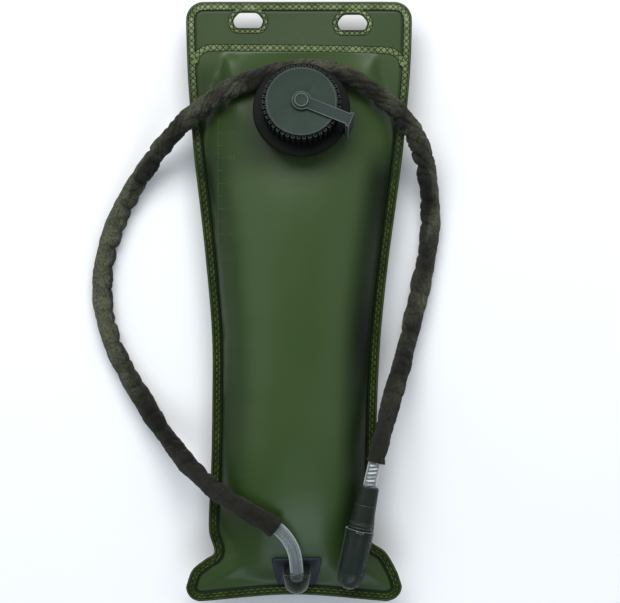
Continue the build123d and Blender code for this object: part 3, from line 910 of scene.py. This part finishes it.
def pucker(x, y, distance, amount):
    """Gathers that run in from the side welds and fade towards the middle."""
    inside = distance - BAND + 0.0005
    if distance < BAND - 0.0005 or y > 0.178:
        return 0.0
    fade = exp(-inside / 0.01) * ease(0.0, 0.002, inside)
    side = 1.0 if x > 0 else -1.0
    waves = wobble(y * 62, side * 3.0, 0.7) + 0.45 * wobble(y * 150, side * 5.0, 9.1)
    return amount * waves * fade * (1.25 if side < 0 else 0.8)


def fitting_distance(x, y):
    """How far a point is from the port's axis, in units of length along the tilted face."""
    return hypot(x - PORT.x, (y - PORT.y) / cos(PORT_TILT))


def patch_depth(x, y):
    """How far inside the outlet patch a point is, negative outside."""
    up = (y - OUTLET.y) / cos(OUTLET_TILT)
    half_width = PATCH_HALF + PATCH_FLARE * up / PATCH_TOP
    return min(half_width - abs(x - OUTLET.x), PATCH_TOP - up, up + PATCH_FOOT)


def freedom(x, y):
    """Share of the free wrinkling left near the stiff collar and patch."""
    return ease(FLANGE_RADIUS, 0.045, fitting_distance(x, y)) * ease(0.0, -0.014, patch_depth(x, y))


def let_in(x, y):
    """The film lies a little lower where the collar and the patch are welded over it."""
    port = 1 - ease(FLANGE_RADIUS, FLANGE_RADIUS + 0.003, fitting_distance(x, y))
    patch = ease(-0.0015, 0.0, patch_depth(x, y))
    return -0.0007 * port - 0.0006 * patch


def corner_folds(x, y):
    """Two soft creases that run down from the cross weld, one in each top corner."""
    lift = 0.0
    for middle, side, depth in ((-0.056, 1, 1.0), (0.0585, -1, 0.5)):
        off = (x - middle) * side - 0.1 * (0.178 - y)
        run = ease(0.1795, 0.172, y) * ease(0.12, 0.152, y)
        lift += 0.0021 * (bell(off, 0.006, 0.0055) - 0.9 * bell(off, -0.001, 0.003)) * run * depth
    return lift


def soft_min(a, b, blend):
    h = max(blend - abs(a - b), 0.0) / blend
    return min(a, b) - h * h * blend / 4


def front_lift(x, y, distance):
    """Height of the front film off the seam."""
    rise = FRONT_RISE * fullness(min(y, CHAMBER_TOP), *FRONT_CURVE)
    if y > 0.15:
        ramp = SHOULDER * (TOP_WELD_Y - y) / SHOULDER_RUN
        rise = max(0.0, soft_min(rise if y < CHAMBER_TOP else SHOULDER, ramp, 0.003))
    lift = hypot(dome(x, y, rise, 2.0), ear(x, y, distance))
    free = freedom(x, y) * ease(0.0, 0.004, lift)
    swell = 0.0012 * wobble(x * 16, y * 12, 1.5)
    ripple = 0.0004 * wobble(x * 55, y * 30, 4.5)
    gathers = pucker(x, y, distance, 0.0022) * ease(0.0, 0.002, lift)
    folds = corner_folds(x, y) if y > 0.118 and distance > BAND else 0.0
    return max(0.0, lift + free * (swell + ripple) + gathers + folds) + let_in(x, y)


def back_drop(x, y, distance):
    """Depth of the back film under the seam."""
    drop = BACK_DROP * fullness(y, *BACK_CURVE) if CHAMBER_BOTTOM < y < CHAMBER_TOP else 0.0
    lift = hypot(dome(x, y, drop, 2.6), ear(x, y, distance))
    return lift + ease(0.0, 0.004, lift) * pucker(x, y, distance, 0.001)


def groove(distance):
    """Pressed lines of the weld, by distance in from the edge."""
    line = 0.00022 * bell(distance, 0.0034, 0.0004) + 0.0003 * bell(distance, 0.0068, 0.0005)
    return line + 0.0003 * exp(-distance / 0.0005)


def soft_positive(value, blend):
    """The value where it is well above 0, and 0 below, with an eased bend between."""
    return 0.5 * (value + sqrt(value * value + blend * blend)) if value > -0.02 else 0.0


def front_height(x, y):
    distance = DISTANCE(x, y)
    return seam_z(x, y) + FILM + front_lift(x, y, distance) - groove(distance)


def back_height(x, y):
    distance = DISTANCE(x, y)
    low = seam_z(x, y) - FILM - back_drop(x, y, distance) + groove(distance)
    return FLOOR_REST + soft_positive(low - FLOOR_REST, 0.0015)


def in_any(x, y, loops):
    """Whether a point lies inside one of the closed loops."""
    for loop in loops:
        inside = False
        for a, b in zip(loop, loop[1:] + loop[:1]):
            if (a.y > y) != (b.y > y) and x < a.x + (y - a.y) / (b.y - a.y) * (b.x - a.x):
                inside = not inside
        if inside:
            return True
    return False


def slot_loop(centre, grow=0.0, round_by=0.0022):
    """Six-sided hang hole with eased corners, clockwise so that outwards is to its left."""
    x, y = centre
    high = SLOT_HEIGHT / 2 + grow
    top = SLOT_TOP_FLAT / 2 + grow * 0.6
    bottom = SLOT_BOTTOM_FLAT / 2 + grow * 0.6
    wide = SLOT_WIDTH / 2 + grow
    corners = [spot(*c) for c in (
        (x - top, y + high), (x + top, y + high), (x + wide, y),
        (x + bottom, y - high), (x - bottom, y - high), (x - wide, y))]
    loop = []
    for i, corner in enumerate(corners):
        a, b = [corner + (corners[k] - corner).normalized() * round_by for k in (i - 1, (i + 1) % 6)]
        for t in (0.0, 0.25, 0.5, 0.75, 1.0):
            loop.append(a.lerp(corner, t).lerp(corner.lerp(b, t), t))
    return loop


def oval(centre, radius, tilt, count):
    """A circle on a tilted face, seen in plan."""
    return [spot(centre.x + radius * cos(a), centre.y + radius * sin(a) * cos(tilt))
            for a in (2 * pi * i / count for i in range(count))]


def film_points(spacing, front):
    """Outline, hole loops and inner points for one film, with loops kept along the welds."""
    edge = outline(0.002)
    holes = [slot_loop(centre) for centre in SLOTS]
    if front:
        holes.append(oval(PORT, NECK_RADIUS + 0.0002, PORT_TILT, 72))
        holes.append(oval(OUTLET, 0.0047, OUTLET_TILT, 28))
    verts = []
    edges = []
    for loop in [edge] + holes:
        first = len(verts)
        verts += [p.to_2d() for p in loop]
        edges += [(first + i, first + (i + 1) % len(loop)) for i in range(len(loop))]
    steps = [0.0004, 0.001, 0.0021, 0.003, 0.0034, 0.0038, 0.0048, 0.0059, 0.0064, 0.0068, 0.0072, 0.0078,
             0.0086, 0.0096, 0.011, 0.013]
    wide_holes = [slot_loop(centre, 0.0007) for centre in SLOTS] + holes[2:]
    for step in steps:
        verts += [p.to_2d() for p in inward(edge, step)
                  if DISTANCE(p.x, p.y) > step - 0.0002 and not in_any(p.x, p.y, wide_holes)]
    cross = top_weld_line()
    for step in (-0.0036, -0.0027, 0.0, 0.0027, 0.0036):
        verts += [p.to_2d() for p in inward(cross, step, False) if DISTANCE(p.x, p.y) > 0.009]
    row = 0
    y = -LENGTH / 2
    while y < LENGTH / 2:
        x = -WIDTH / 2 + (row % 2) * spacing / 2
        while x < WIDTH / 2:
            if DISTANCE(x, y) > steps[-1] + spacing * 0.6 and not in_any(x, y, wide_holes):
                verts.append(Vector((x, y)))
            x += spacing
        y += spacing * 0.866
        row += 1
    return verts, edges, holes


def edge_shade(x, y):
    """How dark the film is: pressed lines by the weld, painted shade on the rolled side walls and in the top
    left corner, painted shadow round the port and over the foot, and a darker tab.
    """
    d = DISTANCE(x, y)
    pressed = bell(d, BAND, 0.0008) + exp(-d / 0.0005)
    uneven = 0.92 + 0.35 * wobble(x * 25, y * 14, 7.7)
    inside = ease(0.0062, 0.0092, d)
    run = ease(0.118, 0.085, y) * ease(-0.19, -0.15, y)
    if x > middle_x(y):
        wall = 0.93 * (1 - ease(0.013, 0.033, d))
    else:
        wall = 0.85 * ease(0.045, 0.075, y) * (1 - ease(0.01, 0.019, d))
        wall = max(wall, 0.55 * (1 - ease(0.012, 0.034, d)))
    left_corner = 0.34 * ease(0.08, 0.105, y) * ease(0.176, 0.16, y) * ease(-0.005, -0.03, x)
    port = 0.38 * (1 - ease(0.032, 0.055, fitting_distance(x, y)))
    foot = 0.25 * ease(-0.155, -0.204, y) * ease(0.005, 0.008, d)
    # remaining is the light left after the painted shade on the side walls and top left corner, and the
    # painted shadow round the port and over the foot
    remaining = (1 - wall * run * uneven * inside) * (1 - left_corner * inside) * (1 - port) * (1 - foot)
    tab = 0.16 * ease(CHAMBER_TOP, CHAMBER_TOP + 0.006, y)
    return min(1.0, (0.95 - 0.5 * ease(0.1, 0.16, y)) * pressed + (1 - remaining) + tab)


def make_film(name, node, front):
    """One film of the reservoir as a thin sheet with its holes."""
    verts, edges, holes = film_points(0.0026 if front else 0.0034, front)
    flat, _, triangles, _, _, _ = delaunay_2d_cdt(verts, edges, [], 1, 1e-7)
    height = front_height if front else back_height
    places = [Vector((p.x, p.y, height(p.x, p.y))) for p in flat]
    faces = []
    for triangle in triangles:
        middle = sum((flat[i] for i in triangle), Vector((0, 0))) / len(triangle)
        if not in_any(middle.x, middle.y, holes):
            faces.append(tuple(triangle) if front else tuple(reversed(triangle)))
    obj = mesh_object(name, places, faces)
    # The edge value holds the dark pressed weld lines, painted shade and painted shadow.
    paint(obj, "edge", [edge_shade(p.x, p.y) for p in places])
    modify(obj, "SOLIDIFY", thickness=FILM, offset=-1)
    dress(obj, "film")
    stand_in(obj, node)


# ---------------- welds and scale
def top_weld_line():
    """Weld between the tab and the chamber, turned down at both ends."""
    corners = [(-0.0745, 0.17), (-0.0728, 0.1768), (-0.068, 0.1806), (-0.06, 0.1819), (-0.02, 0.1817),
               (0.02, 0.1812), (0.06, 0.1801), (0.068, 0.1786), (0.0728, 0.1745), (0.0746, 0.168)]
    return even(catmull([spot(*c) for c in corners], 8), 0.0012, closed=False)


def weld_ground(line, closed, near, far):
    """Flat ribbon beside a line, as points (x, y, lift) and faces."""
    steps = [(near, -0.0003)]
    steps += [(near + (far - near) * i / 7, 0.0001) for i in range(8)]
    steps += [(far, -0.0003)]
    verts = []
    for offset, lift in steps:
        verts += [(p.x, p.y, lift) for p in inward(line, offset, closed)]
    return verts, grid_quads(len(steps), len(line), closed)


def repeats(line, closed, pitch):
    """The line to follow, the number of repeats that fit on it and their real pitch."""
    path = Line(line + line[:1] if closed else line)
    count = round(path.length / pitch)
    return path, count, path.length / count


def add_raised(part, path, s, offset, rings):
    """Adds a shape that rises from a line: rings of corners, each higher than the last, and a top."""
    verts, faces = part
    first = len(verts)
    for corners, lift in rings:
        for along, across in corners:
            p = path.beside((s + along) % path.length, offset + across)
            verts.append((p.x, p.y, lift))
    sides = len(corners)
    for quad in grid_quads(len(rings), sides, True):
        faces.append(tuple(first + i for i in quad))
    faces.append(tuple(range(len(verts) - sides, len(verts))))


def shrunk(corners, gap):
    """A small outline moved in on every side by about the gap."""
    middle = sum(corners, Vector((0, 0))) / len(corners)
    nearest = min(
        abs((b - a).cross(middle - a)) / (b - a).length
        for a, b in zip(corners, corners[1:] + corners[:1])
    )
    share = max(0.2, 1 - gap / nearest)
    return [middle + (c - middle) * share for c in corners]


def weld_pads(line, closed, pitch, middle, half, height):
    """Raised diamonds and triangles along a line, split by thin crossing grooves."""
    part = ([], [])
    path, count, real = repeats(line, closed, pitch)
    for i in range(count):
        last = i == count - 1 and not closed
        for corners in LATTICE[:1] if last else LATTICE:
            shape = [Vector((x * real / 2, y * half)) for x, y in corners]
            rings = [(shrunk(shape, gap), lift * height) for gap, lift in PAD_RINGS]
            add_raised(part, path, (i + 0.5) * real, middle, rings)
    return part


def weld_dashes(line, pitch, offsets, long, wide, height, top=1.0):
    """Short raised ribs along a closed line, like a row of stitches, up to a height on the reservoir."""
    part = ([], [])
    path, count, real = repeats(line, True, pitch)
    rings = []
    for share, lift in ((1.0, 0.0), (0.7, height)):
        length = long - wide * (1 - share)
        rings.append(([(u * length, v * wide * share) for u, v in UNIT_SQUARE], lift))
    for offset, shift in offsets:
        for i in range(count):
            s = (i + 0.5 + shift) * real
            if path.at(s % path.length).y <= top:
                add_raised(part, path, s, offset, rings)
    return part


def lay_on_film(name, parts, front, material):
    """Joins flat parts given as (x, y, lift) and drapes them over a film."""
    verts = []
    faces = []
    surface = front_height if front else back_height
    sign = 1 if front else -1
    for part_verts, part_faces in parts:
        first = len(verts)
        verts += [(x, y, surface(x, y) + sign * lift) for x, y, lift in part_verts]
        faces += [tuple(first + i for i in face) for face in part_faces]
    obj = mesh_object(name, verts, faces)
    with edited(obj.data) as bm:
        face_outwards(bm)
        if sum(face.normal.z * face.calc_area() for face in bm.faces) * sign < 0:
            bmesh.ops.reverse_faces(bm, faces=bm.faces)
    smooth(obj.data, 40)
    dress(obj, material)
    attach(obj, "reservoir")


def make_welds():
    """The pressed pattern round the edge, across the top of the chamber and round the hang holes."""
    edge = outline(0.002)
    lines = [
        (edge, True, (0.0009, 0.0064), (PITCH, 0.0037, 0.0021, 0.00032)),
        (top_weld_line(), False, (-0.0026, 0.0026), (PITCH, 0.0, 0.0023, 0.00036)),
    ]
    for centre in SLOTS:
        ring = even(slot_loop(centre, 0.0006), 0.001)
        lines.append((ring, True, (0.0, 0.0036), (0.0036, 0.0019, 0.0015, 0.00034)))
    ground = [weld_ground(line, closed, *reach) for line, closed, reach, _ in lines]
    pads = [weld_pads(line, closed, *sizes) for line, closed, _, sizes in lines]
    ribs = [
        weld_dashes(edge, PITCH / 2, [(0.0011, 0.0)], 0.002, 0.0003, 0.0004),
        weld_dashes(edge, PITCH, [(0.0029, 0.0), (0.0049, 0.5)], 0.0027, 0.0005, 0.00055, 0.085),
    ]
    for side, front in (("front", True), ("back", False)):
        for name, parts in (("weld_ground", ground), ("weld_pads", pads), ("weld_ribs", ribs)):
            lay_on_film(f"{side}_{name}", parts, front, name)


def make_scale():
    """Faint raised scale on the left of the chamber: a line, ticks and short plain strokes."""
    bars = [(SCALE_X, (SCALE_LOW + SCALE_HIGH) / 2, 0.0005, SCALE_HIGH - SCALE_LOW)]
    for i in range(round((SCALE_HIGH - SCALE_LOW) / SCALE_STEP) + 1):
        y = SCALE_LOW + i * SCALE_STEP
        long = 0.0058 if i % 2 == 0 else 0.0034
        bars.append((SCALE_X + long / 2, y, long, 0.0005))
        if i % 2 == 0:
            bars += [(SCALE_X + 0.0078 + 0.0018 * step, y, 0.0006, 0.0032) for step in range(3)]
    parts = []
    for x, y, wide, tall in bars:
        rows, columns = [max(1, round(size / 0.002)) for size in (tall, wide)]
        verts = [(x + wide * (i / columns - 0.5), y + tall * (j / rows - 0.5), 0.00022)
                 for j in range(rows + 1) for i in range(columns + 1)]
        parts.append((verts, grid_quads(rows + 1, columns + 1)))
    lay_on_film("scale_marks", parts, True, "scale_marks")


# ---------------- rigid pieces
def fitting_frame(fitting, tilt):
    """A fitting's own frame on the front film: Z along its axis, which a positive tilt leans to +Y."""
    height = SEAM + FRONT_RISE * fullness(fitting.y, *FRONT_CURVE)
    across = Vector((1, 0, 0))
    axis = Vector((0, sin(tilt), cos(tilt))).normalized()
    matrix = Matrix((across, axis.cross(across), axis)).transposed().to_4x4()
    matrix.translation = (fitting.x, fitting.y, height)
    return matrix


def copied(name, nodes, change=None):
    """A new object with the shapes of CAD nodes, without doubled points or edges inside flat faces."""
    bm = bmesh.new()
    for node in nodes:
        bm.from_mesh(NODES[node].data)
    bmesh.ops.remove_doubles(bm, verts=bm.verts, dist=SAME_PLACE)
    if change:
        change(bm)
    bmesh.ops.dissolve_limit(bm, angle_limit=radians(0.8), verts=bm.verts, edges=bm.edges)
    mesh = bpy.data.meshes.new(name)
    bm.to_mesh(mesh)
    bm.free()
    smooth(mesh)
    return link(name, mesh)


def round_over(obj, width, segments, material=None):
    """Rounds the sharp edges; the rounded faces can take the lighter edge material, a painted highlight."""
    if material:
        add_materials(obj, material, material + "_edge")
    angle = radians(32)
    modify(obj, "BEVEL", width=width, segments=segments, angle_limit=angle, material=PAINTED_HIGHLIGHT if material else -1)
    smooth(obj.data, SHARP)


def softened(node, material, width, segments=2, edge_highlight=True):
    """A copy of a rigid part with its edges rounded over."""
    obj = copied(node + "_finished", [node])
    round_over(obj, width, segments, material if edge_highlight else None)
    if edge_highlight:
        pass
    else:
        dress(obj, material)
    return stand_in(obj, node)


def cap_highlight_and_shade(cap):
    """Painted highlight on the cap's raised rim, and painted shade in black plastic on its side between and
    below the teeth.
    """
    local = fitting_frame(PORT, PORT_TILT).inverted()
    add_materials(cap, "black_plastic")
    for face in cap.data.polygons:
        centre = local @ face.center
        reach = hypot(centre.x, centre.y)
        if centre.z > 0.0313 and 0.0238 < reach < 0.0252:
            face.material_index = PAINTED_HIGHLIGHT
        elif centre.z < 0.0285 or (reach < 0.0262 and centre.z < 0.0308):
            face.material_index = PAINTED_SHADE


def upright_walls(obj, low=0.25, high=0.75, open_to_y=False):
    """Marks how upright each part of a clear piece stands, where its material paints a highlight; a mouth
    open to +Y can stay clear.
    """
    values = []
    for v in obj.data.vertices:
        value = ease(low, high, 1 - abs(v.normal.z))
        values.append(value * ease(0.4, 0.05, v.normal.y) if open_to_y else value)
    paint(obj, "upright", values)
    return obj


def painted_well_shade(elbow):
    """Painted shade inside the passage down into the reservoir: its faces take the black plastic."""
    local = fitting_frame(OUTLET, -OUTLET_TILT).inverted()
    add_materials(elbow, "black_plastic")
    for face in elbow.data.polygons:
        centre = local @ face.center
        if hypot(centre.x, centre.y) < 0.0036 and centre.z < 0.0125:
            face.material_index = PAINTED_SHADE


def make_leash():
    """Ring, leg and arm joined as one moulding between the neck and the cap, cut across into thin bands over
    its middle heights.
    """
    place = fitting_frame(PORT, PORT_TILT)
    local = place.inverted()

    def at_joint(v):
        return abs(v.co.z - LEASH_SPLIT) < 0.0004

    def join(bm):
        """Takes away the faces between the ring's tongue and the arm's leg, in the port's own frame."""
        for v in bm.verts:
            v.co = local @ v.co
        inner = [f for f in bm.faces if all(at_joint(v) for v in f.verts)]
        bmesh.ops.delete(bm, geom=inner, context="FACES_ONLY")
        for v in filter(at_joint, bm.verts):
            v.co.z = LEASH_SPLIT
        bmesh.ops.remove_doubles(bm, verts=bm.verts, dist=0.0001)

    obj = copied("leash_moulding", ["leash_ring", "leash_arm"], join)
    round_over(obj, 0.0004, 3, "leash_plastic")
    with edited(obj.data) as bm:
        for i in range(16):
            cut = Vector((0, 0, LEASH_LOW + (LEASH_HIGH - LEASH_LOW) * i / 15))
            everything = bm.verts[:] + bm.edges[:] + bm.faces[:]
            bmesh.ops.bisect_plane(bm, geom=everything, plane_co=cut, plane_no=Vector((0, 0, 1)))
        bmesh.ops.transform(bm, matrix=place, verts=bm.verts)
    obj.data.set_sharp_from_angle(angle=radians(SHARP))
    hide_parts("leash_ring")
    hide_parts("leash_arm")
    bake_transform(obj)


def main():
    camera()
    studio()
    make_materials()

    line = Line(route_points())
    hose = make_hose(line)
    sleeve = make_sleeve(line)
    make_film("front_film", "front_panel", True)
    make_film("back_film", "back_panel", False)
    make_welds()
    make_scale()

    softened("port_collar", "black_plastic", 0.0009, 3, False)
    cap_highlight_and_shade(softened("fill_cap", "cap_plastic", 0.00025))
    softened("cap_button", "cap_plastic", 0.00025)
    make_leash()
    softened("outlet_patch", "patch_plastic", 0.0003)
    elbow = softened("outlet_elbow", "clear_plastic", 0.0004)
    painted_well_shade(upright_walls(elbow, open_to_y=True))
    for node, width in (("valve_collar", 0.0003), ("valve_body", 0.0003), ("shutoff_slider", 0.0002)):
        softened(node, "valve_plastic", width)
    softened("mouthpiece", "bite_silicone", 0.0006, 3, False)
    upright_walls(softened("dust_cap", "smoked_plastic", 0.0003), 0.5, 0.95)
    for node, material in (("valve_stem", "clear_plastic_barbs"), ("valve_pin", "valve_plastic"),
                           ("valve_o_rings", "rubber")):
        dress(NODES[node], material)
    dress(NODES["cap_gasket"], "rubber")
    dress(NODES["outlet_gasket"], "rubber")
    dress(NODES["outlet_nut"], "black_plastic")
    tuple(line.at(0))


main()
